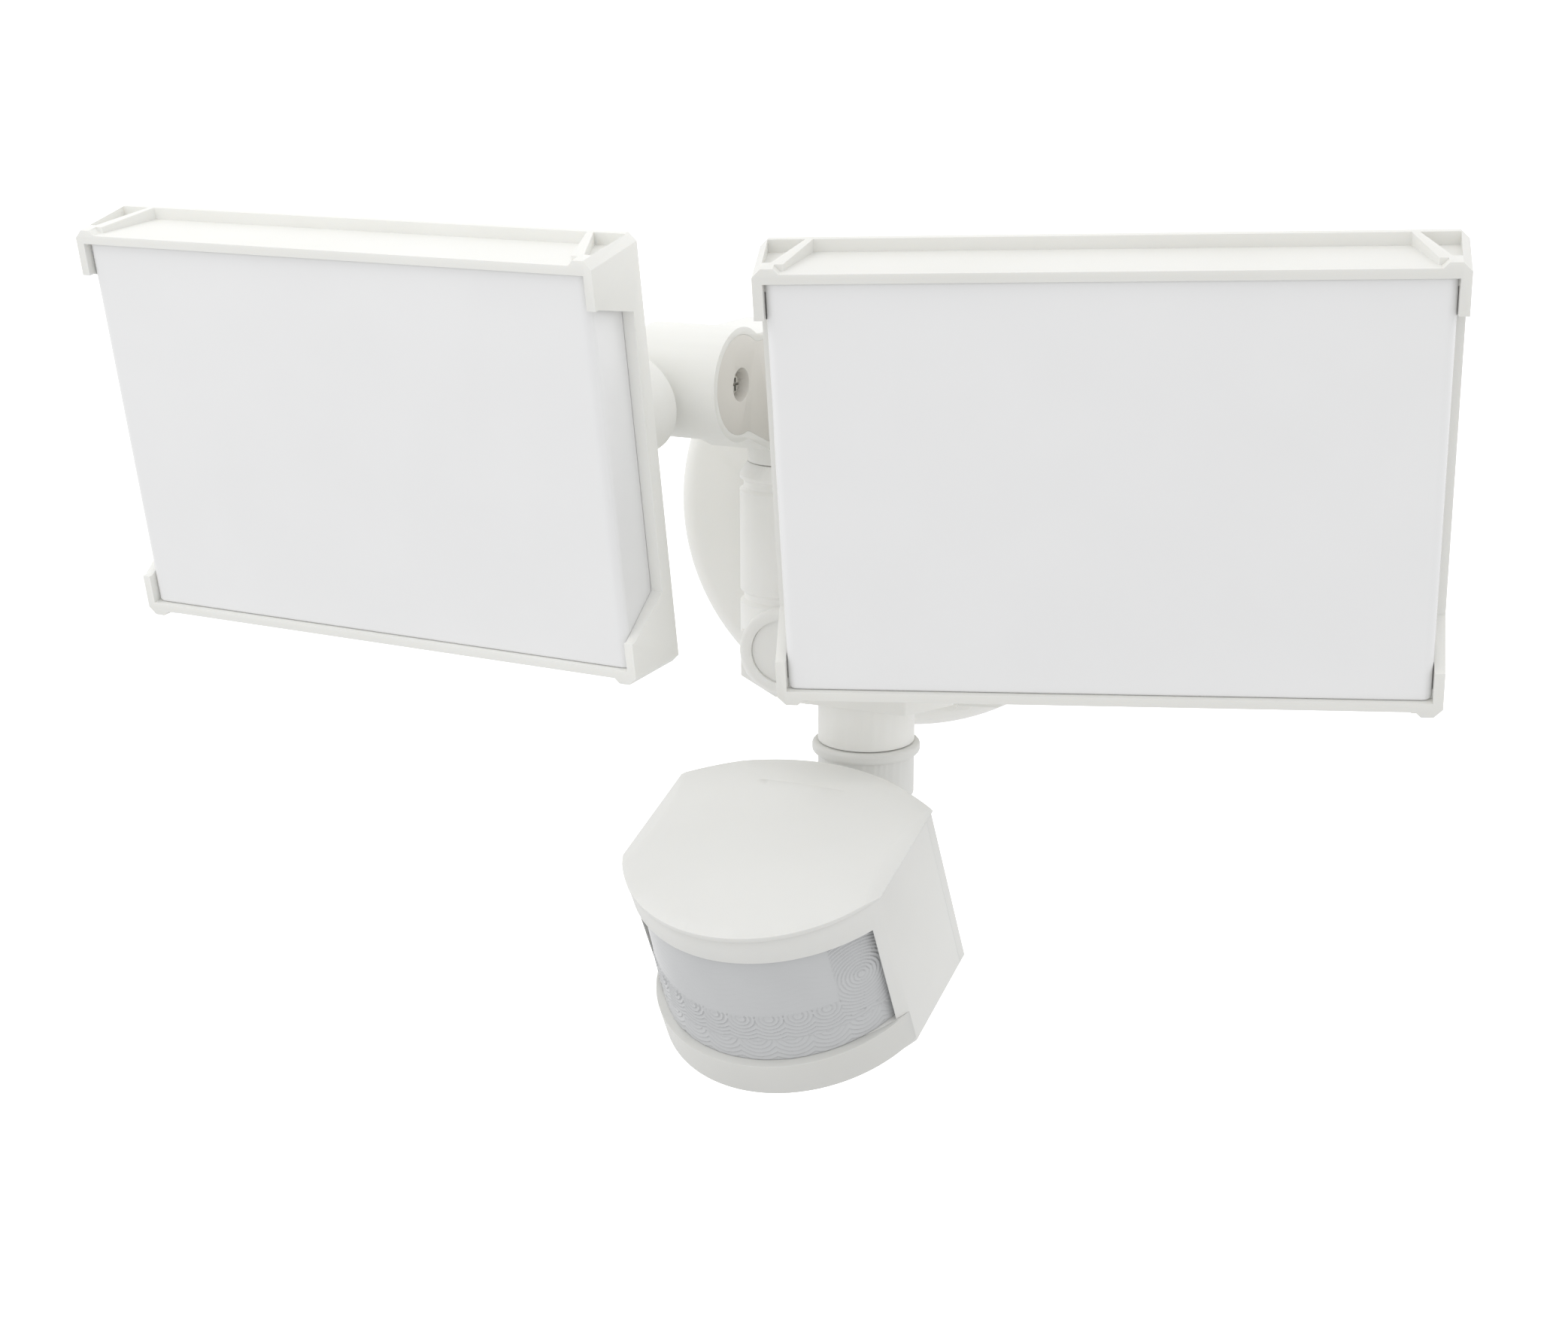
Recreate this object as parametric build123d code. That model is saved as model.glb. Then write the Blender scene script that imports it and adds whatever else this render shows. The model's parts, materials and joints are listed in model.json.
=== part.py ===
from build123d import *
import os

# Twin-head LED floodlight with a motion sensor, wall mounted.
# Millimetres. Origin: centre of the plate's mounting face on the wall. +Z up, -Y into the room.

# ---- driving dimensions: wall plate and hub ----
plate_radius = 67.3
plate_depth = 12.0
plate_wall = 2.6
screw_pitch = 84.0            # plate screws, side to side
box_pitch = 60.0              # the mounting bar's own screws, side to side
hub_half_width = 42.0
hub_rear_y = -28.0
hub_top = -22.0
hub_corner_z = -42.5
hub_bottom_z = -48.5
hub_bottom_half = 32.0
hub_front_y = -48.0
nose_front_y = -93.0
nose_yaw = -14.0

# ---- driving dimensions: posts and elbows ----
post_x = 29.6
post_y = -40.0
post_radius = 13.7
seam_z = 19.3                 # where each elbow turns on its post
foot_x = 28.3                 # the foot is set a little inwards of its post
foot_z = -33.2
foot_radius = 12.9
foot_face_y = -55.0
elbow_face = 1.7              # the flat cover, just right of the pan axis
barrel_left = -26.8
barrel_forward = 31.0
barrel_height = 25.9          # above the seam
barrel_radius = 15.5
shell_wall = 2.0
shaft_radius = 5.0
running_gap = 0.05

# ---- driving dimensions: lamp heads ----
head_width = 165.0
head_height = 114.5
head_depth = 20.9
back_grow_x = 1.17            # the back is this much larger on each side
back_grow_z = 1.98
corner_chamfer = 2.2
side_wall = 2.5
front_rail = 3.8
proud = 1.4                   # corners stand above the rails
rail_depth = 3.0
lug_top = 12.7
lug_bottom = 12.0
boss_radius = 14.4

# ---- driving dimensions: sensor ----
neck_x = -1.3
neck_y = -78.0
neck_radius = 13.2
collar_radius = 14.8
neck_seam_z = -50.0
hinge_z = -75.0
sensor_width = 74.5
sensor_height = 51.8
sensor_side = 33.1
brim_reach = 23.6
band_reach = 22.9
lens_reach = (22.0, 25.9)      # at its top and bottom edges
chin_reach = 28.3

# ---- rest angles in degrees, and the tilt axis as seen from each head's front centre ----
arms = {
    "left": {"side": -1, "pan": -17.0, "tilt": 9.65, "roll": 0.24,
             "axis": (89.3, 55.1, 8.4), "boss_end": 35.0, "driver_side": 1},
    "right": {"side": 1, "pan": 1.0, "tilt": 9.81, "roll": -1.53,
              "axis": (-31.8, 61.1, 4.95), "boss_end": 41.0, "driver_side": -1},
}
sensor_pan = -18.0
sensor_tilt = 23.4
sensor_roll = -1.66
hinge_local = (-1.1, 59.0, -35.9)      # the hinge as seen from the sensor's top front centre

parts = {}


def keep(name, shape, colour):
    """Store one named sub-part."""
    shape.label = name
    shape.color = Color(*colour)
    parts[name] = shape


white = (0.92, 0.92, 0.90)
frost = (0.86, 0.87, 0.88)
steel = (0.62, 0.62, 0.64)
green = (0.10, 0.35, 0.18)
dark = (0.15, 0.15, 0.16)
amber = (0.85, 0.75, 0.35)


def box(x0, x1, y0, y1, z0, z1):
    """A box between two corners."""
    middle = ((x0 + x1) / 2, (y0 + y1) / 2, (z0 + z1) / 2)
    return Pos(*middle) * Box(x1 - x0, y1 - y0, z1 - z0)


def rod_x(radius, x0, x1, y, z):
    """A round bar along X."""
    return Pos((x0 + x1) / 2, y, z) * Rot(0, 90, 0) * Cylinder(radius, x1 - x0)


def rod_y(radius, y0, y1, x, z):
    """A round bar along Y."""
    return Pos(x, (y0 + y1) / 2, z) * Rot(90, 0, 0) * Cylinder(radius, y1 - y0)


def rod_z(radius, z0, z1, x, y):
    """A round bar along Z."""
    return Pos(x, y, (z0 + z1) / 2) * Cylinder(radius, z1 - z0)


def turned(points):
    """A solid of revolution about Z from (radius, z) points."""
    return revolve(make_face(Plane.XZ * Polyline(*points, close=True)), Axis.Z)


def slab(points, y0, y1):
    """A polygon drawn in (x, z) and given depth from y0 to y1."""
    face = make_face(Plane.XZ * Polyline(*points, close=True))
    return Pos(0, y0, 0) * extrude(face, amount=y1 - y0, dir=(0, 1, 0))


def screw(head_radius, head_height, shank_radius, length):
    """A pan-head cross-recess screw pointing down, its head's top at z = 0."""
    body = rod_z(head_radius, -head_height, 0, 0, 0)
    body = fillet(body.edges().group_by(Axis.Z)[-1], head_height * 0.45)
    body += rod_z(shank_radius, -length, -head_height, 0, 0)
    arm = head_radius * 0.62
    slot = head_radius * 0.13
    body -= box(-arm, arm, -slot, slot, -head_height * 0.5, 1)
    body -= box(-slot, slot, -arm, arm, -head_height * 0.5, 1)
    return body


# ---------------------------------------------------------------- wall plate

def dome(shrink, start, rounding):
    """A flat round dish with a rounded front edge, standing along Z."""
    body = rod_z(plate_radius - shrink, start, plate_depth - shrink, 0, 0)
    return fillet(body.edges().group_by(Axis.Z)[-1], rounding)


def wall_plate():
    body = dome(0, 0, 5.0) - dome(plate_wall, -1, 3.0)
    for side in (-1, 1):
        body += rod_z(5.5, 2.6, plate_depth - 1, side * screw_pitch / 2, 0)
        body -= rod_z(2.4, -1, plate_depth + 1, side * screw_pitch / 2, 0)
    body -= rod_z(9.0, -1, plate_depth + 1, 0, 0)
    return Rot(90, 0, 0) * body


def mounting_screws():
    group = []
    for side in (-1, 1):
        one = screw(4.2, 2.6, 2.0, 14.3)
        group.append(Pos(side * screw_pitch / 2, -plate_depth - 2.6, 0) * Rot(90, 0, 0) * one)
    return Compound(children=group)


keep("wall_plate", wall_plate(), white)
gasket_outer = plate_radius - plate_wall - 0.4
gasket = rod_y(gasket_outer, -3.2, 0, 0, 0) - rod_y(gasket_outer - 6.0, -4, 1, 0, 0)
keep("plate_gasket", gasket, dark)
bar = fillet(box(-52, 52, -2.4, 0, -12, 12).edges().filter_by(Axis.Y), 6.0)
bar -= rod_y(7.0, -5, 1, 0, 0)
for side in (-1, 1):
    bar -= rod_y(2.05, -5, 1, side * screw_pitch / 2, 0)
    bar -= rod_y(2.1, -5, 1, side * box_pitch / 2, 0)
keep("mounting_bar", bar, steel)
keep("mounting_screws", mounting_screws(), steel)

# ---------------------------------------------------------------- posts

groove_levels = (12.9, -19.5)
groove_half = 1.8
groove_depth = 1.1


def post(side):
    """One upright post with two ring grooves and a round foot that faces forward."""
    rim = post_radius
    points = [(0, foot_z), (rim, foot_z)]
    for level in sorted(groove_levels):
        points += [(rim, level - groove_half), (rim - groove_depth, level - groove_half + 0.9)]
        points += [(rim - groove_depth, level + groove_half - 0.9), (rim, level + groove_half)]
    points += [(rim, seam_z - 3.7), (rim - 2.3, seam_z - 0.15), (0, seam_z - 0.15)]
    shaft = turned(points)
    shaft = Pos(side * post_x, post_y, 0) * shaft
    foot = rod_y(foot_radius, foot_face_y, hub_rear_y, side * foot_x, foot_z)
    foot = fillet(foot.edges().group_by(Axis.Y)[0], 1.6)
    rear = rod_z(post_radius - 0.02, foot_z - foot_radius + 4, foot_z + 0.5, side * post_x, post_y)
    body = shaft + foot
    body += rear & rod_y(post_radius, -60, 0, side * post_x, foot_z)
    skirt = [(hub_half_width, foot_z + 4), (hub_half_width, hub_corner_z),
             (hub_bottom_half, hub_bottom_z), (19, hub_bottom_z), (19, foot_z + 4)]
    body += slab([(side * x, z) for x, z in skirt], hub_front_y, hub_rear_y)
    body -= rod_y(9.4, foot_face_y - 1, foot_face_y + 2.4, side * foot_x, foot_z)
    body -= rod_z(10.6, foot_z + 4, seam_z - 4, side * post_x, post_y)
    body -= rod_z(7.9 + running_gap, seam_z - 5, seam_z + 1, side * post_x, post_y)
    return body


def post_cap(side):
    """The round plug sunk in the post's foot."""
    y0 = foot_face_y + 1.2
    cap = rod_y(9.4, y0, y0 + 1.2, side * foot_x, foot_z)
    return chamfer(cap.edges().group_by(Axis.Y)[0], 0.15)


for side, hand in ((-1, "left"), (1, "right")):
    keep(f"{hand}_post", post(side), white)
    keep(f"{hand}_post_cap", post_cap(side), white)

# ---------------------------------------------------------------- hub

def hub_base():
    """The block between the two post feet, hollow for the wires."""
    outline = [(-19, hub_top), (-19, hub_bottom_z), (19, hub_bottom_z), (19, hub_top),
               (12, -12), (-12, -12)]
    body = slab(outline, hub_front_y, hub_rear_y)
    body -= box(-13.5, 13.5, hub_front_y + 2.5, hub_rear_y + 1, hub_bottom_z + 3, -20)
    for side in (-1, 1):
        body -= rod_z(post_radius, -60, 40, side * post_x, post_y)
        body -= rod_y(foot_radius, -70, 0, side * foot_x, foot_z)
    return max(body.solids(), key=lambda s: s.volume)


def hub_column():
    """The box stem that joins the hub to the wall plate and covers the cable entry."""
    body = box(-24, 24, hub_rear_y, -plate_depth, -56, 16)
    body = fillet(body.edges().filter_by(Axis.Y), 4.0)
    body -= box(-21, 21, hub_rear_y + 2.5, -plate_depth + 1, -53, 13)
    body -= box(-12, 12, hub_rear_y - 1, hub_rear_y + 3, -44, -21)
    for side in (-1, 1):
        body -= rod_z(post_radius + 0.3, -70, 40, side * post_x, post_y)
    return body


def hub_nose():
    """The lower front body: a faceted block around the sensor's sleeve."""
    front = nose_front_y - neck_y
    outline = [(-25, hub_front_y - neck_y), (-25, -1.0), (-17, front), (17, front),
               (25, -1.0), (25, hub_front_y - neck_y)]
    face = make_face(Polyline(*outline, close=True))
    body = Pos(0, 0, -37.5) * extrude(face, amount=9.5)
    body = Pos(neck_x, neck_y, 0) * Rot(0, 0, nose_yaw) * body
    back = box(-24, 24, hub_front_y - 14, hub_front_y, -46, -14)
    body = fillet(body.edges().filter_by(Axis.Z), 1.0)
    body += chamfer(back.edges().filter_by(Axis.Y), 3.0)
    body += rod_z(neck_radius, neck_seam_z + 0.15, -30, neck_x, neck_y)
    body -= box(-100, 100, hub_front_y, 0, -80, 40)
    body -= rod_z(8.6, -60, -30, neck_x, neck_y)
    for side in (-1, 1):
        body -= rod_y(foot_radius + 0.4, -70, 0, side * foot_x, foot_z)
        body -= rod_z(post_radius + 0.4, -60, 40, side * post_x, post_y)
    return max(body.solids(), key=lambda s: s.volume)


keep("hub_base", hub_base(), white)
keep("hub_column", hub_column(), white)
keep("hub_nose", hub_nose(), white)
control_board = box(-18, 18, -17.5, -16.0, -50, 10)
keep("control_board", control_board, green)
relay = fillet(box(-9, 9, -24.5, -17.5, -14, 4).edges().filter_by(Axis.Y), 1.0)
keep("relay", relay, dark)
terminals = box(-15, 15, -25, -17.5, -38, -24)
for step in (-10, -5, 0, 5, 10):
    terminals -= rod_y(1.6, -26, -20, step, -31)
keep("terminal_block", terminals, white)

# ---------------------------------------------------------------- elbows


def elbow_outline(inset):
    """Side outline of an elbow, seen along X: the barrel's disc joined to the column."""
    disc = Pos(-barrel_forward, barrel_height) * Circle(barrel_radius)
    top = barrel_height + 12.6
    column = make_face(Polyline((-22, top), (8, top), (11.4, top - 4), (11.4, 0.15), (-11.4, 0.15),
                                (-13.5, 5.0), (-29, 11.5), close=True))
    outline = disc + column
    outline = offset(offset(outline, 2.5), -2.5)
    return offset(outline, -inset) if inset else outline


def along_x(face, x0, x1):
    """Extrude an outline drawn as (y, z) from x0 to x1."""
    return extrude(Plane.YZ.offset(x0) * face, amount=x1 - x0)


def elbow_shell():
    body = along_x(elbow_outline(0), -17.0, elbow_face)
    body -= box(-30, 5, -9.5, 40, -5, 0.0)
    neck_trim = rod_z(11.4, 0.15, 9, 0, 0)
    lower = box(-30, 30, -14, 40, -1, 5.5)
    body -= lower
    body += neck_trim
    column = rod_z(11.4, 5.0, barrel_height + 10.5, 0, 0)
    column = fillet(column.edges().group_by(Axis.Z)[-1], 5.0)
    body += column & box(-30, 30, -30, 30, 0, 60)
    barrel = rod_x(barrel_radius, barrel_left, elbow_face, -barrel_forward, barrel_height)
    body += fillet(barrel.edges().group_by(Axis.X)[0], 2.5)
    recess = along_x(elbow_outline(shell_wall), -0.9, elbow_face + 20)
    body -= recess - rod_z(11.5, -5, 60, 0, 0)
    inner = elbow_outline(shell_wall + 1.4)
    body -= along_x(inner, -14.0, 0) - rod_z(11.5, -5, 60, 0, 0)
    body -= rod_z(8.2, 11, barrel_height + 7, 0, 0)
    body -= rod_x(12.0, barrel_left + 3.5, -2, -barrel_forward, barrel_height)
    body += rod_x(8.5, barrel_left + 1, -6, -barrel_forward, barrel_height)
    body -= rod_x(shaft_radius + running_gap, barrel_left - 1, 0, -barrel_forward, barrel_height)
    body -= rod_z(7.9, -1, 12, 0, 0)
    return max(body.solids(), key=lambda s: s.volume)


def elbow_cover():
    body = along_x(elbow_outline(shell_wall + 0.05), -0.9, elbow_face)
    body -= rod_z(11.55, -5, 60, 0, 0)
    y, z = -barrel_forward, barrel_height
    body += rod_x(6.6, -4.6, -0.5, y, z)
    body -= rod_x(4.6, -2.6, 3, y, z)
    body -= rod_x(1.7, -9, 3, y, z)
    return body


def elbow_frame(arm):
    """The elbow's own frame: its origin is where the pan axis meets the post's top."""
    return Pos(arm["side"] * post_x, post_y, seam_z) * Rot(0, 0, arm["pan"])


def elbow_parts(hand, frame):
    """The four pieces that turn together on one post."""
    keep(f"{hand}_elbow_shell", frame * elbow_shell(), white)
    keep(f"{hand}_elbow_cover", frame * elbow_cover(), white)
    clamp = Pos(-0.2, -barrel_forward, barrel_height) * Rot(0, 90, 0) * screw(2.9, 2.2, 1.6, 9.0)
    keep(f"{hand}_clamp_screw", frame * clamp, steel)
    stem = rod_z(7.9, -18, 12, 0, 0) + rod_z(9.8, -8.5, -6.0, 0, 0)
    stem -= rod_z(5.6, -19, 13, 0, 0)
    keep(f"{hand}_pan_stem", frame * stem, steel)


for hand, arm in arms.items():
    elbow_parts(hand, elbow_frame(arm))

# ---------------------------------------------------------------- lamp heads


def rounded_panel(width, height, cut):
    """A rectangle with chamfered corners, standing in the XZ plane."""
    return chamfer(Rectangle(width, height).vertices(), cut)


def head_block():
    """The outer block, slightly larger at the back."""
    front = Plane.XZ * rounded_panel(head_width, head_height, corner_chamfer)
    wide = head_width + 2 * back_grow_x
    tall = head_height + 2 * back_grow_z
    back = Plane.XZ.offset(-head_depth) * rounded_panel(wide, tall, corner_chamfer)
    return loft([front, back])


def head_housing(driver_side):
    half_w, half_h = head_width / 2, head_height / 2
    body = head_block()
    # front opening and the deeper tray behind the front rails
    body -= box(-half_w + side_wall, half_w - side_wall, -1, rail_depth,
                -half_h + front_rail, half_h - front_rail)
    body -= box(-half_w + side_wall, half_w - side_wall, rail_depth - 0.1, head_depth - 2.5,
                -half_h + 6.4, half_h - 6.4)
    for up in (-1, 1):
        # the rails sit below the corners, with slanted ends
        rail_z = up * (half_h - proud)
        far_z = up * (half_h + 4)
        reach = half_w - 5.2
        body -= slab([(-reach, far_z), (-reach, up * half_h), (-reach + 1.4, rail_z),
                      (reach - 1.4, rail_z), (reach, up * half_h), (reach, far_z)], -1, rail_depth)
        # the long channel with diagonal ends, and a pocket in each corner
        floor_z = half_h - proud
        back_y = head_depth - 1.6
        body -= level_cut([(-half_w + 6.6, -1), (half_w - 6.6, -1), (half_w - 6.6, 0.8),
                           (half_w - 12.2, back_y), (-half_w + 12.2, back_y),
                           (-half_w + 6.6, 0.8)], up, floor_z)
        for side in (-1, 1):
            body -= level_cut([(side * (half_w - 2.0), rail_depth + 1.2),
                               (side * (half_w - 1.0), back_y),
                               (side * (half_w - 10.3), back_y),
                               (side * (half_w - 4.2), rail_depth + 1.2)], up, floor_z)
    # open sides: a square lug stays at the top, a slanted one at the bottom
    top_z = half_h - lug_top
    low_z = -half_h + lug_bottom
    rear_y = head_depth - 4.6
    for side in (-1, 1):
        cut = make_face(Plane.YZ * Polyline((-1, top_z), (1.5, top_z), (rear_y, top_z - 4.6),
                                            (rear_y, low_z + 8.5), (1.2, low_z), (-1, low_z),
                                            close=True))
        body -= Pos(side * (half_w + 1) - 3.5, 0, 0) * extrude(cut, amount=7.0, dir=(1, 0, 0))
    # driver compartment on the back
    x0, x1 = sorted((-driver_side * 42, driver_side * 30))
    bump = box(x0, x1, head_depth - 1, head_depth + 13, -26, 34)
    bump = fillet(bump.edges().filter_by(Axis.Y), 6.0)
    bump = fillet(bump.edges().group_by(Axis.Y)[-1], 2.5)
    body += bump
    body -= box(x0 + 3, x1 - 3, head_depth - 3, head_depth + 10.5, -23, 31)
    return body


def level_cut(points, up, floor_z):
    """A cutter drawn in plan, from the channel floor outwards, above or below the head."""
    face = make_face(Polyline(*points, close=True))
    depth = head_height / 2 + 6 - floor_z
    start = floor_z if up > 0 else -floor_z - depth
    return Pos(0, 0, start) * extrude(face, amount=depth, dir=(0, 0, 1))


def diffuser():
    """The opal cover: a shallow tray whose side edges are rounded."""
    half_w = head_width / 2 - side_wall - 0.05
    half_h = head_height / 2 - front_rail - 0.05
    outer = box(-half_w, half_w, 1.3, rail_depth - 0.05, -half_h, half_h)
    lower = head_height / 2 - 6.4 - 0.05
    outer += box(-half_w, half_w, 1.3, head_depth - 4.6, -lower, lower)
    outer = fillet(outer.edges().group_by(Axis.Y)[0].filter_by(Axis.Z), 2.6)
    outer = fillet(outer.edges().group_by(Axis.Y)[0], 0.8)
    inner = box(-half_w + 1.8, half_w - 1.8, 3.3, head_depth, -lower + 1.8, lower - 1.8)
    return outer - fillet(inner.edges().group_by(Axis.Y)[0].filter_by(Axis.Z), 1.2)


def led_chips():
    """The emitters, standing in rows on the board."""
    chips = []
    for column in range(10):
        for row in range(5):
            x = -67.5 + 15.0 * column
            z = -36.0 + 18.0 * row
            chips.append(Pos(x, head_depth - 7.2, z) * Box(3.5, 0.8, 2.8))
    return Compound(children=chips)


def head_bracket(arm, barrel_end):
    """Round boss on the back of a head, and the ear that holds the tilt shaft."""
    axis_y, axis_z = arm["axis"][1:]
    ear_right = barrel_end - 0.4
    ear_left = ear_right - 10.0
    boss = rod_y(boss_radius, head_depth, arm["boss_end"], ear_right + 6.0, axis_z)
    boss = fillet(boss.edges().group_by(Axis.Y)[-1], 0.9)
    boss += box(ear_left, ear_right, head_depth, axis_y, axis_z - 10.0, axis_z + 10.0)
    boss += rod_x(12.0, ear_left, ear_right, axis_y, axis_z)
    return boss - rod_x(shaft_radius, ear_left - 1, ear_right + 1, axis_y, axis_z)


def tilt_shaft(arm, barrel_end):
    """The pin that the head tilts on, tapped for the clamp screw."""
    axis_y, axis_z = arm["axis"][1:]
    start = barrel_end - 10.4
    pin = rod_x(shaft_radius, start, barrel_end + 20.0, axis_y, axis_z)
    pin += rod_x(7.0, start - 2.0, start, axis_y, axis_z)
    return pin - rod_x(1.75, barrel_end + 8, barrel_end + 22, axis_y, axis_z)


def head_screws():
    """Four screws that close the back of a head."""
    group = []
    for x in (-66, 66):
        for z in (-46, 46):
            one = screw(3.0, 1.8, 1.3, 4.2)
            group.append(Pos(x, head_depth + 1.8, z) * Rot(-90, 0, 0) * one)
    return Compound(children=group)


def head_frame(arm):
    """The head's frame before its small roll: its tilt axis lies on the elbow's barrel."""
    x, y, z = arm["axis"]
    barrel = Pos(0, -barrel_forward, barrel_height)
    return elbow_frame(arm) * barrel * Rot(arm["tilt"], 0, 0) * Pos(-x, -y, -z)


def head_parts(hand, arm):
    hinge = head_frame(arm)
    frame = hinge * Rot(0, arm["roll"], 0)
    half_w, half_h = head_width / 2, head_height / 2
    barrel_end = arm["axis"][0] + barrel_left
    driver_side = arm["driver_side"]
    screws = head_screws()
    keep(f"{hand}_head_housing", frame * (head_housing(driver_side) - screws), white)
    keep(f"{hand}_diffuser", frame * diffuser(), frost)
    y = head_depth
    board = box(-half_w + 6, half_w - 6, y - 6.8, y - 5.2, -half_h + 10, half_h - 10)
    keep(f"{hand}_led_board", frame * board, white)
    keep(f"{hand}_led_chips", frame * led_chips(), amber)
    spreader = box(-half_w + 8, half_w - 8, y - 5.2, y - 2.5, -half_h + 12, half_h - 12)
    keep(f"{hand}_heat_spreader", frame * spreader, steel)
    x0, x1 = sorted((-driver_side * 38, driver_side * 26))
    keep(f"{hand}_led_driver", frame * box(x0, x1, y - 2.3, y + 8.5, -18, 26), dark)
    keep(f"{hand}_head_bracket", hinge * head_bracket(arm, barrel_end), white)
    keep(f"{hand}_tilt_shaft", hinge * tilt_shaft(arm, barrel_end), steel)
    keep(f"{hand}_head_screws", frame * screws, steel)


for hand, arm in arms.items():
    head_parts(hand, arm)

# ---------------------------------------------------------------- sensor neck

collar_z = neck_seam_z - 3.4
neck_frame = Pos(neck_x, neck_y, 0) * Rot(0, 0, sensor_pan)


def sensor_tube():
    """The turning tube below the fixed sleeve, with its collar and hinge tongue."""
    body = rod_z(collar_radius, collar_z, neck_seam_z - 0.15, 0, 0)
    body = fillet(body.edges().filter_by(GeomType.CIRCLE), 1.2)
    body += rod_z(neck_radius, hinge_z + 10, collar_z + 1, 0, 0)
    body += rod_z(8.5, neck_seam_z - 1, neck_seam_z + 11, 0, 0)
    body -= rod_z(6.0, neck_seam_z - 18, neck_seam_z + 12, 0, 0)
    tongue = rod_x(8.5, -6.5, 6.5, 0, hinge_z) + box(-6.5, 6.5, -8.5, 8.5, hinge_z, hinge_z + 11)
    body += tongue
    return body - rod_x(3.0 + running_gap, -20, 20, 0, hinge_z)


keep("sensor_neck_tube", neck_frame * sensor_tube(), white)

# ---------------------------------------------------------------- sensor head

half = sensor_width / 2
side_back = sensor_side
top_back = 44.5


def sensor_plan(reach, inset=0.0, back=None):
    """Plan outline of the sensor: rounded front, straight sides, bowed or straight back."""
    w = half - inset
    front = ThreePointArc((-w, 0), (0, -reach + inset), (w, 0))
    if back is None:
        rear = Line((w, side_back), (-w, side_back))
    else:
        rear = Spline((w, side_back), (0, back), (-w, side_back),
                      tangents=[(-1, 0.55), (-1, -0.55)])
    sides = [Line((w, 0), (w, side_back)), Line((-w, side_back), (-w, 0))]
    return make_face([front, sides[0], rear, sides[1]])


def layer(face, z0, z1):
    """A plan outline given height from z0 to z1."""
    return Pos(0, 0, z0) * extrude(face, amount=z1 - z0)


top_seam = -2.4
crown_radius = 300.0
crown_rise = 1.2
band_end = -10.2
chin_top = -41.2
rear_seam = 29.0


def sensor_top():
    """The hood: a crowned lid with a bowed back, a crease near it, and sloping side facets."""
    body = layer(sensor_plan(brim_reach, 0, top_back), top_seam, 3)
    body = body & (Pos(0, 13, crown_rise - crown_radius) * Sphere(crown_radius))
    for side in (-1, 1):
        x0, x1 = side * (half - 6.5), side * (half + 1)
        facet = Plane.XZ * Polyline((x0, 0.1), (x0, 4), (x1, 4), (x1, -2.4), close=True)
        body -= Pos(0, -60, 0) * extrude(make_face(facet), amount=160, dir=(0, 1, 0))
    behind = Plane.YZ * Polyline((side_back, 0.25), (side_back, 4), (50, 4), (50, -2.2), close=True)
    body -= Pos(-60, 0, 0) * extrude(make_face(behind), amount=120, dir=(1, 0, 0))
    plug = layer(sensor_plan(band_reach, 2.8), top_seam - 0.9, top_seam)
    body += plug & box(-60, 60, -60, rear_seam - 1, -10, 1)
    return body


def sensor_front():
    """The front housing: band, cheeks, floor and the window for the lens."""
    body = layer(sensor_plan(band_reach), -sensor_height, top_seam)
    body -= box(-half - 1, half + 1, rear_seam, 60, -sensor_height - 1, 1)
    window = layer(sensor_plan(40, 2.2), chin_top, band_end)
    body -= window & box(-half, half, -60, 0.6, -60, 0)
    hollow = layer(sensor_plan(band_reach, 2.6), -sensor_height + 2.4, 1)
    body -= hollow & box(-60, 60, -8, 60, -60, 2)
    body -= layer(sensor_plan(band_reach, 2.6), band_end - 0.1, 1)
    return max(body.solids(), key=lambda s: s.volume)


def sensor_chin():
    """The lower front band that juts out below the lens."""
    body = layer(sensor_plan(chin_reach), -sensor_height, chin_top)
    body = body & box(-60, 60, -60, 0.0, -60, 0)
    body = chamfer(body.edges().group_by(Axis.Z)[0].filter_by(GeomType.CIRCLE), 1.0)
    body -= layer(sensor_plan(band_reach + 0.05), -sensor_height - 1, chin_top + 1)
    return max(body.solids(), key=lambda s: s.volume)


def sensor_lens():
    """The domed Fresnel lens, a thin curved window."""
    upper, lower = lens_reach
    solids = []
    for inset in (2.4, 3.9):
        bottom = Plane.XY.offset(chin_top) * sensor_plan(lower + 2.4, inset)
        top = Plane.XY.offset(band_end) * sensor_plan(upper + 2.4, inset)
        solids.append(loft([bottom, top]))
    shell = solids[0] - solids[1]
    shell = shell & box(-60, 60, -60, 0.5, -60, 0)
    return max(shell.solids(), key=lambda s: s.volume)


def sensor_rear():
    """The back cover with the two ears that hold the hinge pin."""
    body = box(-half, half, rear_seam, side_back, -sensor_height, top_seam)
    body = chamfer(body.edges().filter_by(Axis.Z).group_by(Axis.Y)[-1], 1.0)
    body -= box(-half + 2.4, half - 2.4, rear_seam - 1, side_back - 2.4, -sensor_height + 2.4, -6)
    return body


def sensor_ears():
    """Two ears on the back cover, drawn about the hinge."""
    reach = hinge_local[1] - side_back + 1.2
    ears = Part()
    for side in (-1, 1):
        x0, x1 = sorted((side * 6.9, side * 11.5))
        ears += box(x0, x1, -reach, 0, -8, 8) + rod_x(8.0, x0, x1, 0, 0)
    return ears - rod_x(3.0, -20, 20, 0, 0)


def sensor_knobs():
    """Three adjusters under the sensor, for time, range and light level."""
    return {name: (x, 12.0) for name, x in (("time", -18.0), ("range", 0.0), ("light", 18.0))}


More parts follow.
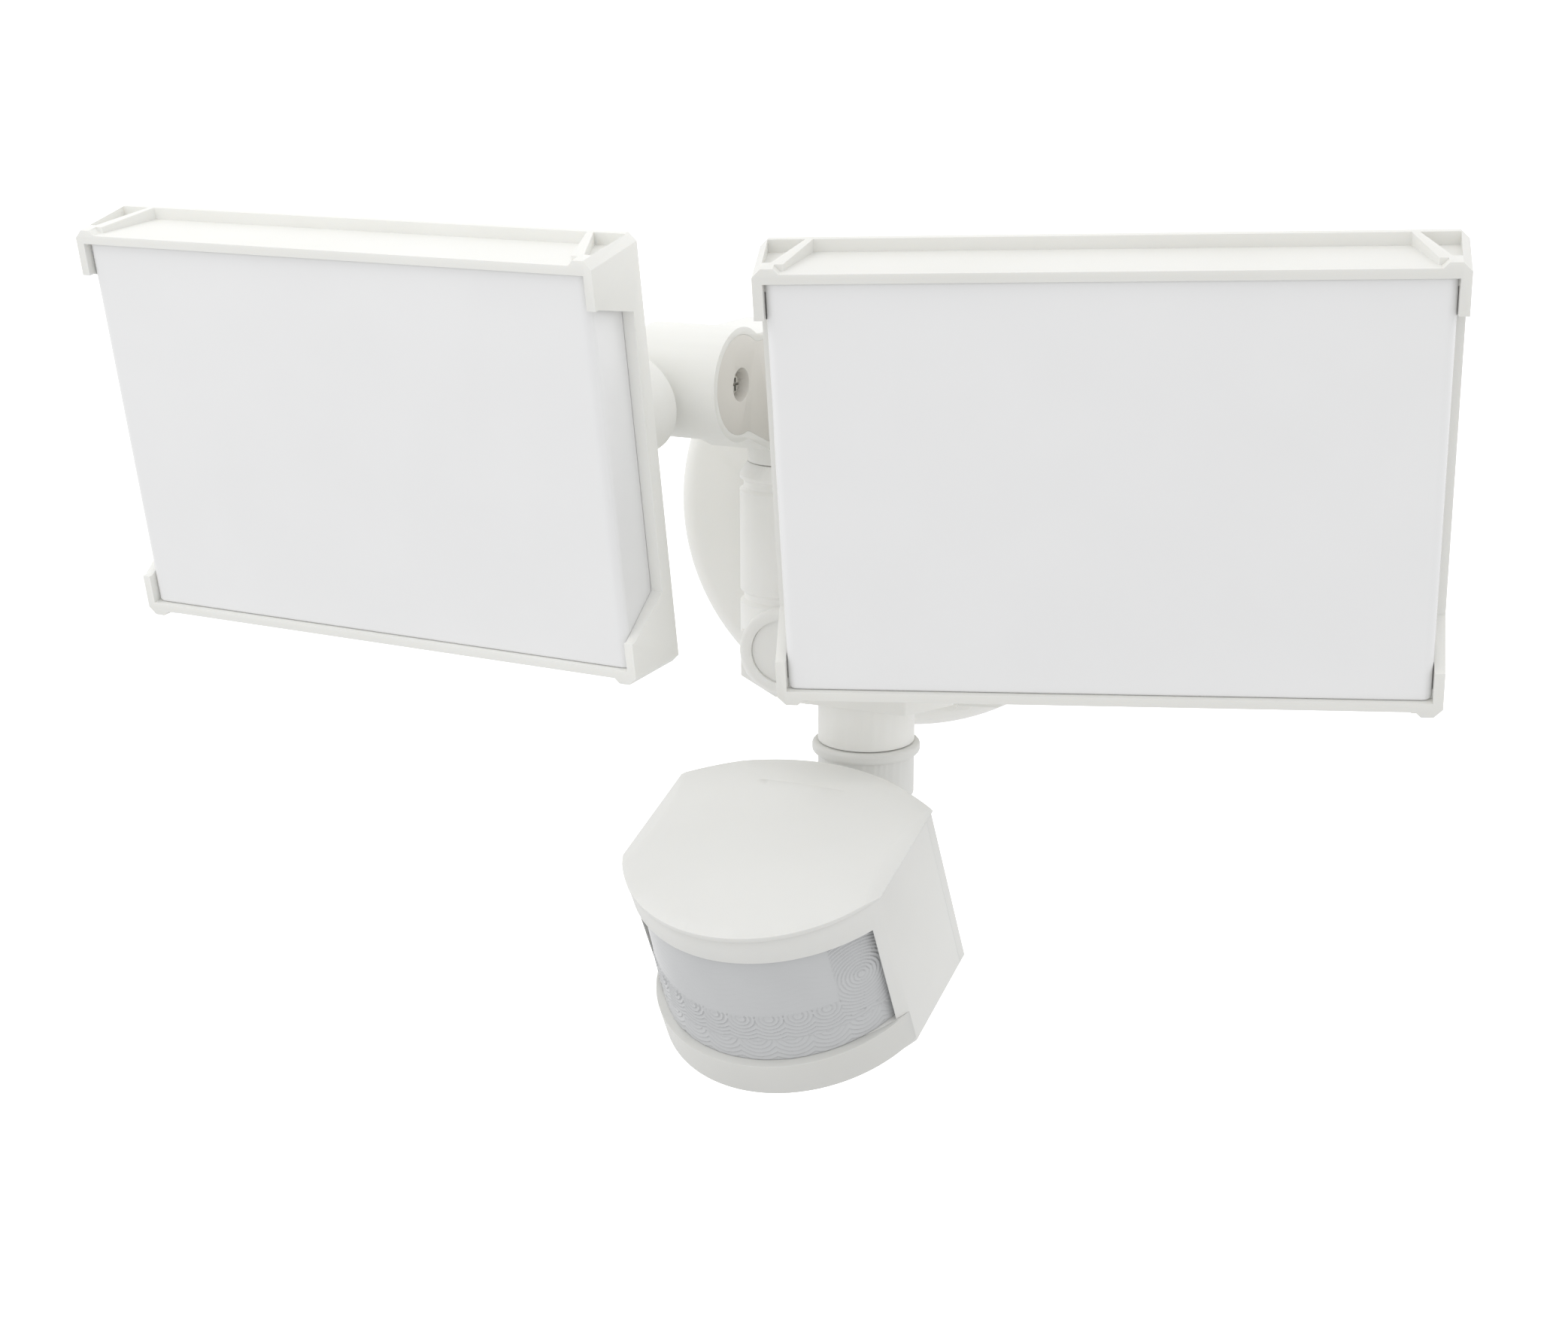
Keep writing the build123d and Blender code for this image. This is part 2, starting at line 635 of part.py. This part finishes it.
hinge_frame = neck_frame * Pos(0, 0, hinge_z) * Rot(sensor_tilt, 0, 0)
sensor_frame = hinge_frame * Rot(0, sensor_roll, 0) * Pos(*(-v for v in hinge_local))
keep("sensor_top_cover", sensor_frame * sensor_top(), white)
front_shell = sensor_front()
for name, (x, y) in sensor_knobs().items():
    front_shell -= rod_z(4.3, -sensor_height - 1, -sensor_height + 3, x, y)
keep("sensor_front_housing", sensor_frame * front_shell, white)
keep("sensor_chin", sensor_frame * sensor_chin(), white)
keep("sensor_lens", sensor_frame * sensor_lens(), frost)
rear_screws = [Pos(x, side_back + 1.6, -44) * Rot(-90, 0, 0) * screw(2.6, 1.6, 1.1, 7.0)
               for x in (-28, 28)]
rear_group = Compound(children=rear_screws)
rear_cover = sensor_frame * (sensor_rear() - rear_group) + hinge_frame * sensor_ears()
keep("sensor_rear_cover", rear_cover, white)
keep("sensor_rear_screws", sensor_frame * rear_group, steel)
pin = rod_x(3.0, -11.5, 11.5, 0, 0) + rod_x(4.6, 11.5, 13.3, 0, 0)
keep("sensor_hinge_pin", hinge_frame * pin, steel)
board = box(-half + 4, half - 4, 8.0, 9.6, -sensor_height + 5, -5)
keep("sensor_board", sensor_frame * board, green)
can = rod_y(4.6, 3.6, 8.0, 0, -25) - rod_y(2.6, 3.0, 4.0, 0, -25)
keep("pir_element", sensor_frame * can, steel)
for name, (x, y) in sensor_knobs().items():
    knob = rod_z(4.2, -sensor_height - 2.6, -sensor_height + 2.2, x, y)
    knob = fillet(knob.edges().group_by(Axis.Z)[0], 0.5)
    knob -= box(x - 3.2, x + 3.2, y - 0.5, y + 0.5, -sensor_height - 3, -sensor_height - 1.6)
    keep(f"{name}_knob", sensor_frame * knob, dark)

os.makedirs("parts", exist_ok=True)
for name, shape in parts.items():
    export_step(shape, f"parts/{name}.step")
print(len(parts), "parts")
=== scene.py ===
import bpy
import bmesh
import json
import math
from mathutils import Matrix, Vector


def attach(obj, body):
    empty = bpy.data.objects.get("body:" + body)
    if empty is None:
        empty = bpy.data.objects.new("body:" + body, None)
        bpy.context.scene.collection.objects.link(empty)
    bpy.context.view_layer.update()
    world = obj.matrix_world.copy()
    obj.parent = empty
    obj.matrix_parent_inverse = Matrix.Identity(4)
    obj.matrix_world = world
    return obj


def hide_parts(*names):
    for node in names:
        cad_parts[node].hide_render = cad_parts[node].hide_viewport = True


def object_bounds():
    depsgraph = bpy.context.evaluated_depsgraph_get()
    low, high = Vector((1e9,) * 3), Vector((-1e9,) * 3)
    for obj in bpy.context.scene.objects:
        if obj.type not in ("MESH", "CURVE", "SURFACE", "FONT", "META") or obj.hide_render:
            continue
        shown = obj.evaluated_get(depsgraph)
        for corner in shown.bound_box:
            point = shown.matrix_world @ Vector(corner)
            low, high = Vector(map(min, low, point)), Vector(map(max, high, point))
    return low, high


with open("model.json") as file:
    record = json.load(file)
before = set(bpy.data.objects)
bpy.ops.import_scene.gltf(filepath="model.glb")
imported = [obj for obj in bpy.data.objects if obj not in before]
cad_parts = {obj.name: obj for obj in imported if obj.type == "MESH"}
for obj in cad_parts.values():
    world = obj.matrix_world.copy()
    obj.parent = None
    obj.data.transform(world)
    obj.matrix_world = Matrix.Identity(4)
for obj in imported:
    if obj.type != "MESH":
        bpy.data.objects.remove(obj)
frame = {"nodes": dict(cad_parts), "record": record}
cad_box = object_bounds()
nodes = frame["nodes"]
record = frame["record"]
body_of = {node: body for body, members in record["behaviour"]["bodies"].items() for node in members}
slot_of = {entry["node"]: entry["material_slot"] for entry in record["subparts"]}
scene = bpy.context.scene
MM = 0.001                             # the frame is in metres

CAMERA_PLACE, CAMERA_TARGET = Vector((0.0864, -0.7015, 0.1484)), Vector((-0.0358, -0.0120, -0.0487))
CAMERA_LENS, CAMERA_ROLL = 55.25, -0.10
TENT_LEVEL = 1.0                       # light from the sides
TENT_SLOPE = (-0.05, 0.05, 0.13)       # how it changes towards the right, the back and the top
FLOOR_HALF, FLOOR_DROP = 400.0, 0.55   # metres: half its side, and how far below the part it lies


# ---------------------------------------------------------------- camera, light, floor

def looking(place, target):
    """The placing of a camera or lamp at one point, aimed at another."""
    return Matrix.Translation(place) @ (target - place).to_track_quat("-Z", "Y").to_matrix().to_4x4()


def make_camera():
    data = bpy.data.cameras.new("camera")
    data.sensor_fit = "HORIZONTAL"
    data.sensor_width = 36.0
    data.lens = CAMERA_LENS
    data.clip_start, data.clip_end = 0.01, 2000.0
    camera = bpy.data.objects.new("camera", data)
    scene.collection.objects.link(camera)
    roll = Matrix.Rotation(math.radians(CAMERA_ROLL), 4, "Z")
    camera.matrix_world = looking(CAMERA_PLACE, CAMERA_TARGET) @ roll
    scene.camera = camera


def area_light(name, place, target, size, power):
    """A round softbox lamp, its size in metres and its power in watts."""
    data = bpy.data.lights.new(name, "AREA")
    data.shape = "DISK"
    data.size = size
    data.energy = power
    light = bpy.data.objects.new(name, data)
    scene.collection.objects.link(light)
    light.matrix_world = looking(Vector(place), Vector(target))


def studio():
    """A light tent: bright above, dimmer below, with a soft key from the upper left."""
    world = bpy.data.worlds.new("studio")
    scene.world = world
    world.use_nodes = True
    tree = world.node_tree
    direction = tree.nodes.new("ShaderNodeTexCoord").outputs["Generated"]
    weight = tree.nodes.new("ShaderNodeVectorMath")
    weight.operation = "DOT_PRODUCT"
    weight.inputs[1].default_value = TENT_SLOPE
    tree.links.new(direction, weight.inputs[0])
    level = tree.nodes.new("ShaderNodeMath")
    level.operation = "ADD"
    level.inputs[1].default_value = TENT_LEVEL
    tree.links.new(weight.outputs["Value"], level.inputs[0])
    tree.links.new(level.outputs["Value"], tree.nodes["Background"].inputs["Strength"])
    tree.nodes["Background"].inputs["Color"].default_value = (1.0, 1.0, 1.0, 1)
    area_light("key", (-0.62, -0.30, 0.70), (-0.08, -0.1, -0.03), 0.55, 0.95)
    area_light("side", (0.95, 0.25, 0.25), (0, -0.1, 0), 0.8, 0.6)
    scene.view_settings.view_transform = "Standard"


def floor_plane():
    mesh = bpy.data.meshes.new("floor")
    s, z = FLOOR_HALF, cad_box[0].z - FLOOR_DROP
    mesh.from_pydata([(-s, -s, z), (s, -s, z), (s, s, z), (-s, s, z)], [], [(0, 1, 2, 3)])
    floor = bpy.data.objects.new("floor", mesh)
    scene.collection.objects.link(floor)
    mesh.materials.append(floor_material())
    floor.visible_diffuse = floor.visible_glossy = False    # seen, but throws no light upwards


# ---------------------------------------------------------------- materials

class Nodes:
    """A short way to build one procedural material."""

    def __init__(self, name):
        self.material = bpy.data.materials.new(name)
        self.material.use_nodes = True
        self.tree = self.material.node_tree
        self.shader = self.tree.nodes["Principled BSDF"]
        self.position = self.add("ShaderNodeTexCoord").outputs["Object"]

    def add(self, kind, **values):
        node = self.tree.nodes.new(kind)
        for key, value in values.items():
            setattr(node, key, value)
        return node

    def link(self, a, b):
        self.tree.links.new(a, b)

    def set(self, **values):
        for key, value in values.items():
            self.shader.inputs[key.replace("_", " ")].default_value = value

    def noise(self, scale, detail=3.0, roughness=0.5, stretch=None):
        noise = self.add("ShaderNodeTexNoise")
        noise.inputs["Scale"].default_value = scale
        noise.inputs["Detail"].default_value = detail
        noise.inputs["Roughness"].default_value = roughness
        source = self.position
        if stretch:
            mapping = self.add("ShaderNodeMapping")
            mapping.inputs["Scale"].default_value = stretch
            self.link(self.position, mapping.inputs["Vector"])
            source = mapping.outputs["Vector"]
        self.link(source, noise.inputs["Vector"])
        return noise.outputs["Fac"]

    def ramp(self, source, low, high, a, b):
        """Map low..high of a value to a..b."""
        node = self.add("ShaderNodeMapRange")
        for key, value in (("From Min", low), ("From Max", high), ("To Min", a), ("To Max", b)):
            node.inputs[key].default_value = value
        self.link(source, node.inputs["Value"])
        return node.outputs["Result"]

    def mix(self, factor, colour_a, colour_b):
        """Blend two plain colours."""
        node = self.add("ShaderNodeMix", data_type="RGBA")
        self.link(factor, node.inputs["Factor"])
        for socket, colour in (("A", colour_a), ("B", colour_b)):
            target = [s for s in node.inputs if s.name == socket and s.type == "RGBA"][0]
            target.default_value = (*colour, 1)
        return [s for s in node.outputs if s.type == "RGBA"][0]

    def bump(self, height, strength, distance):
        node = self.add("ShaderNodeBump")
        node.inputs["Strength"].default_value = strength
        node.inputs["Distance"].default_value = distance
        self.link(height, node.inputs["Height"])
        self.link(node.outputs["Normal"], self.shader.inputs["Normal"])


def moulded(name, dark, light, rough, soft=0.0, grain=0.05):
    """Moulded plastic: slight cloudiness and, unless polished (grain 0), a fine grain."""
    m = Nodes(name)
    m.link(m.mix(m.ramp(m.noise(38, 4), 0.35, 0.65, 0, 1), dark, light), m.shader.inputs["Base Color"])
    m.set(IOR=1.49, Roughness=rough)
    if grain:
        m.link(m.ramp(m.noise(60, 2), 0.2, 0.8, rough - 0.04, rough + 0.04), m.shader.inputs["Roughness"])
        m.bump(m.noise(1500, 2), grain, 0.00004)
    if soft:
        m.set(Subsurface_Weight=soft, Subsurface_Radius=(1.0, 0.9, 0.75), Subsurface_Scale=0.0015)
    return m.material


def metal(name, colour, rough, stretch=(1, 1, 1)):
    """Plated or rolled metal with fine scratches and uneven gloss."""
    m = Nodes(name)
    dull = tuple(c * 0.82 for c in colour)
    m.link(m.mix(m.ramp(m.noise(160, 5), 0.35, 0.7, 0, 1), colour, dull), m.shader.inputs["Base Color"])
    streaks = m.noise(900, 3, 0.6, stretch)
    m.link(m.ramp(streaks, 0.3, 0.7, rough - 0.06, rough + 0.08), m.shader.inputs["Roughness"])
    m.bump(streaks, 0.08, 0.00005)
    m.set(Metallic=1.0)
    return m.material


def floor_material():
    m = Nodes("floor")
    m.link(m.mix(m.noise(1.5, 2), (0.94, 0.94, 0.94), (0.96, 0.96, 0.96)), m.shader.inputs["Base Color"])
    m.set(Roughness=0.9, Emission_Color=(1, 1, 1, 1), Emission_Strength=0.45)
    return m.material


def circuit(name, base):
    """Solder mask with darker tracks."""
    m = Nodes(name)
    cells = m.add("ShaderNodeTexBrick")
    cells.inputs["Scale"].default_value = 160
    cells.inputs["Mortar Size"].default_value = 0.06
    m.link(m.position, cells.inputs["Vector"])
    dark = tuple(c * 0.75 for c in base)
    m.link(m.mix(cells.outputs["Fac"], base, dark), m.shader.inputs["Base Color"])
    m.bump(cells.outputs["Fac"], 0.1, 0.0001)
    m.set(Roughness=0.3)
    return m.material


MATERIALS = {
    "housing": moulded("housing_white", (0.835, 0.835, 0.805), (0.850, 0.850, 0.822), 0.42, 0.10),
    "diffuser": moulded("diffuser_opal", (0.825, 0.827, 0.830), (0.835, 0.837, 0.840), 0.26, 0.0, 0.0),
    "lens": moulded("lens_translucent", (0.530, 0.538, 0.545), (0.560, 0.568, 0.575), 0.20, 0.0, 0.0),
    "gasket": moulded("foam_black", (0.02, 0.02, 0.02), (0.04, 0.04, 0.04), 0.85, 0, 0.5),
    "driver_case": moulded("case_black", (0.03, 0.03, 0.035), (0.05, 0.05, 0.055), 0.5),
    "knob": moulded("knob_dark", (0.05, 0.05, 0.055), (0.08, 0.08, 0.085), 0.45),
    "white_board": moulded("mask_white", (0.78, 0.79, 0.79), (0.84, 0.85, 0.85), 0.3),
    "emitter": moulded("phosphor", (0.78, 0.60, 0.16), (0.85, 0.70, 0.25), 0.35, 0.2),
    "circuit_board": circuit("mask_green", (0.03, 0.16, 0.07)),
    "spreader": metal("aluminium_rolled", (0.77, 0.78, 0.80), 0.35, (1, 1, 12)),
    "steel": metal("steel_plated", (0.62, 0.61, 0.58), 0.26),
}

# Painted light and shade: the plastic itself is one white, but some pieces get a lighter or darker copy of
# it, set piece by piece to suit the tones under this light.
PAINTED_LIGHT_AND_SHADE_WHITES = {
    # Painted shade: the chin is a darker copy of the white.
    "sensor_chin": moulded("housing_white_chin_painted_shade", (0.665, 0.665, 0.640), (0.680, 0.680, 0.656), 0.40, 0.10),
    # Painted shade: the other sensor pieces are a darker copy of the white.
    "sensor_": moulded("housing_white_sensor_painted_shade", (0.745, 0.745, 0.722), (0.760, 0.760, 0.738), 0.40, 0.10),
    # Painted shade: the right head's housing is a darker copy of the white.
    "right_head_housing": moulded("housing_white_right_painted_shade",
                                  (0.785, 0.783, 0.752), (0.798, 0.796, 0.767), 0.42, 0.10),
    # Painted light: the hub pieces are a lighter copy of the white.
    "hub_": moulded("housing_white_hub_painted_light", (0.885, 0.882, 0.850), (0.897, 0.894, 0.864), 0.42, 0.10),
    # Painted light: the wall plate is a lighter copy of the white.
    "wall_plate": moulded("housing_white_plate_painted_light", (0.895, 0.892, 0.862), (0.905, 0.902, 0.874), 0.42, 0.10),
    # Painted light: the left post is a lighter copy of the white.
    "left_post": moulded("housing_white_post_painted_light", (0.905, 0.903, 0.880), (0.915, 0.912, 0.892), 0.42, 0.10),
    # A warmer cream for the elbow cover, made darker as painted shade from the right head beside it.
    "left_elbow_cover": moulded("housing_cream_painted_shade", (0.735, 0.715, 0.670), (0.750, 0.730, 0.688), 0.45, 0.10),
}


def coat(name):
    """The material of one node: its slot's, or a copy of the white with painted light or shade."""
    if slot_of[name] == "housing":
        for start, material in PAINTED_LIGHT_AND_SHADE_WHITES.items():
            if name.startswith(start):
                return material
    return MATERIALS[slot_of[name]]


def dress():
    """Give every carried-over CAD node its procedural material."""
    for name, node in nodes.items():
        node.data.materials.clear()
        node.data.materials.append(coat(name))


# ---------------------------------------------------------------- softened copies of the mouldings

# How wide the rounding of each moulding's sharp edges is, in mm, by the ending of its name.
EDGES = {
    "head_housing": 0.22, "head_bracket": 0.4, "diffuser": 0.3,
    "elbow_shell": 0.5, "elbow_cover": 0.2, "post": 0.3, "post_cap": 0.12,
    "hub_base": 0.4, "hub_column": 0.5, "hub_nose": 0.4, "wall_plate": 0.3,
    "sensor_neck_tube": 0.2, "sensor_top_cover": 0.35, "sensor_front_housing": 0.25,
    "sensor_chin": 0.3, "sensor_rear_cover": 0.3,
}
SHARP_ANGLE = 32.0                     # degrees: edges that turn more than this are rounded
HOOD_SHARP_ANGLE = 10.0                # the hood's facets meet at shallow edges


def softened(name, width, sharp_angle):
    """Stand a moulding in for its CAD node: the same shape with every sharp edge rounded."""
    bm = bmesh.new()
    bm.from_mesh(nodes[name].data)
    bmesh.ops.remove_doubles(bm, verts=bm.verts, dist=1e-6)
    bmesh.ops.dissolve_limit(bm, angle_limit=math.radians(0.6), verts=bm.verts, edges=bm.edges)
    mesh = bpy.data.meshes.new(name + "_moulding")
    bm.to_mesh(mesh)
    bm.free()
    mesh.shade_smooth()
    piece = bpy.data.objects.new(name + "_moulding", mesh)
    scene.collection.objects.link(piece)
    bevel = piece.modifiers.new("edges", "BEVEL")
    bevel.width = width * MM
    bevel.segments = 2
    bevel.limit_method = "ANGLE"
    bevel.angle_limit = math.radians(sharp_angle)
    bevel.use_clamp_overlap = True
    bevel.harden_normals = True
    mesh.materials.append(coat(name))
    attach(piece, body_of[name])
    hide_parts(name)


def soften_mouldings():
    for name in nodes:
        for ending, width in EDGES.items():
            if name.endswith(ending):
                softened(name, width, HOOD_SHARP_ANGLE if ending == "sensor_top_cover" else SHARP_ANGLE)


# ---------------------------------------------------------------- the sensor's lens

# The sensor's own axes: its turn and tilt about the hinge below the neck (mm, degrees).
HINGE_PLACE = Vector((-1.3, -78.0, -75.0))
HINGE_IN_SENSOR = Vector((-1.1, 59.0, -35.9))
SENSOR_YAW, SENSOR_TILT, SENSOR_ROLL = -18.0, 23.4, -1.66
SENSOR_AXES = (Matrix.Scale(MM, 4) @ Matrix.Translation(HINGE_PLACE)
               @ Matrix.Rotation(math.radians(SENSOR_YAW), 4, "Z")
               @ Matrix.Rotation(math.radians(SENSOR_TILT), 4, "X")
               @ Matrix.Rotation(math.radians(SENSOR_ROLL), 4, "Y")
               @ Matrix.Translation(-HINGE_IN_SENSOR))
LENS_TOP, LENS_BOTTOM, LENS_HALF = -10.2, -41.2, 34.85
LENS_REACH = (22.0, 25.9)              # how far the arc bows out, at its top and its bottom
LENS_SINK = 0.12                       # the rings' lowest points lie this far inside the arc
LENS_WALL = 1.0
ARC_HALF = 38.0                        # half the lens's width measured round its arc
SPOT_EDGE, SPOT_FLOOR = 25.0, -33.0    # the large lenslet at the right starts and ends here
ROW_FLOORS = (-27.5, -35.0)            # where the upper and the middle rows end


def lens_relief(s, z):
    """Relief in mm at arc position s and height z: rows of lenslets with stepped rings."""
    if s > SPOT_EDGE and z > SPOT_FLOOR:
        across, up, pitch, depth = 31.0, -22.5, 0.95, 0.36
    else:
        if z > ROW_FLOORS[0]:
            cell, up, pitch, depth = 14.0, -6.0, 1.6, 0.035
        elif z > ROW_FLOORS[1]:
            cell, up, pitch, depth = 6.3, -28.2, 1.05, 0.42
        else:
            cell, up, pitch, depth = 7.9, -34.0, 1.2, 0.28
        across = cell * (math.floor((s + ARC_HALF) / cell) + 0.5) - ARC_HALF
    return depth * ((math.hypot(s - across, z - up) / pitch) % 1.0)


def fresnel_lens():
    """The curved lens window as a fine mesh with its rings standing in relief."""
    across, down, plain_rim = 460, 200, 1
    rows = []
    bm = bmesh.new()
    for j in range(down + 1):
        t = j / down
        z = LENS_TOP + (LENS_BOTTOM - LENS_TOP) * t
        reach = LENS_REACH[0] + (LENS_REACH[1] - LENS_REACH[0]) * t
        radius = (LENS_HALF ** 2 + reach ** 2) / (2 * reach)
        half_angle = math.asin(LENS_HALF / radius)
        row = []
        for i in range(across + 1):
            side = 2 * i / across - 1
            a = half_angle * side
            edge = min(i, across - i, j, down - j)
            relief = lens_relief(side * ARC_HALF, z) if edge > plain_rim else 0.0
            r = radius - LENS_SINK + relief
            point = Vector((r * math.sin(a), radius - reach - r * math.cos(a), z))
            row.append(bm.verts.new(SENSOR_AXES @ point))
        rows.append(row)
    for upper, lower in zip(rows, rows[1:]):
        for k in range(across):
            bm.faces.new((lower[k], lower[k + 1], upper[k + 1], upper[k]))
    mesh = bpy.data.meshes.new("sensor_lens_rings")
    bm.to_mesh(mesh)
    bm.free()
    mesh.shade_smooth()
    lens = bpy.data.objects.new("sensor_lens_rings", mesh)
    scene.collection.objects.link(lens)
    wall = lens.modifiers.new("wall", "SOLIDIFY")
    wall.thickness, wall.offset = LENS_WALL * MM, -1
    mesh.materials.append(MATERIALS["lens"])
    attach(lens, "sensor_head")
    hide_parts("sensor_lens")


make_camera()
studio()
floor_plane()
dress()
soften_mouldings()
fresnel_lens()
